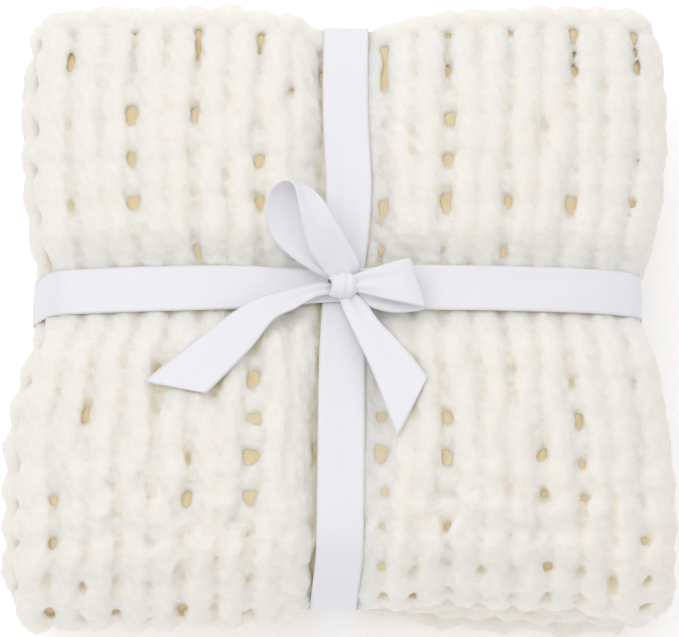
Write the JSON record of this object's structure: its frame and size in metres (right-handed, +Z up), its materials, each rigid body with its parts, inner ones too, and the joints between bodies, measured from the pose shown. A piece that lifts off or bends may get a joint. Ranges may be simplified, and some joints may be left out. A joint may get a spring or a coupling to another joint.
{
  "type": "folded chunky knit blanket with satin ribbon tie",
  "caption": "Cream chenille chunky knit throw, folded in thirds both ways and tied like a parcel with a plain white satin ribbon bow.",
  "frame": {"origin": "middle of the underside, where the folded blanket rests", "axes": "+Z up from the surface it rests on, +X to the right across the ribs, -Y towards the front fold, seen from above with the front fold nearest"},
  "size_m": [0.3712, 0.358, 0.1544],
  "materials": {
    "chenille_knit": "matt, deep soft pile on thick round yarn",
    "white_satin": "satin sheen along the length of the ribbon"
  },
  "bodies": {
    "root": {"blanket": "chenille_knit", "ribbon_lengthwise": "white_satin", "ribbon_crosswise": "white_satin", "ribbon_bow": "white_satin"}
  },
  "joints": []
}
